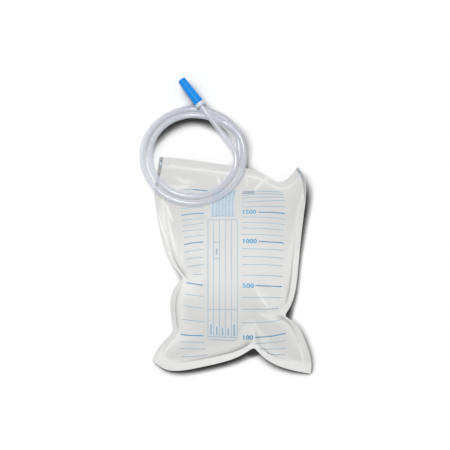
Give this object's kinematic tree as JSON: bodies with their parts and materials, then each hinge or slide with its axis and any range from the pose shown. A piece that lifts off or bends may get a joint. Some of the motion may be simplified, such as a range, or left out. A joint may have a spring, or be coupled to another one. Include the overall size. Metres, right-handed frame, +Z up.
{
  "type": "urine drainage bag",
  "caption": "Soft two-ply drainage bag puffed with air and laid flat, with a coiled clear inlet tube that ends in a tapered connector under a pull-off cap",
  "frame": {"origin": "on the surface that the bag lies on, under the middle of the bag without its tube", "axes": "+Z up off the table; +Y to the top edge of the bag, where the tube enters; +X to the right side of the bag, seen from the front"},
  "size_m": [0.2145, 0.3697, 0.0547],
  "materials": {
    "front_film": "milky translucent film, soft gloss, printed in blue",
    "back_film": "milky translucent film, soft gloss",
    "inlet_sleeve": "clear soft plastic",
    "valve_film": "thin clear film",
    "clear_tube": "clear soft plastic with a faint violet cast",
    "white_plastic": "satin moulded plastic",
    "blue_plastic": "satin moulded plastic"
  },
  "bodies": {
    "bag": {"front_film": "front_film", "back_film": "back_film", "inlet_sleeve": "inlet_sleeve", "non_return_valve": "valve_film", "tube": "clear_tube", "connector": "white_plastic"},
    "cap": {"cap": "blue_plastic"}
  },
  "joints": [
    {"name": "cap_pull", "type": "slide", "parent": "bag", "child": "cap", "axis": [-0.5952, 0.7899, -0.1478], "range_m": [0, 0.026]}
  ]
}
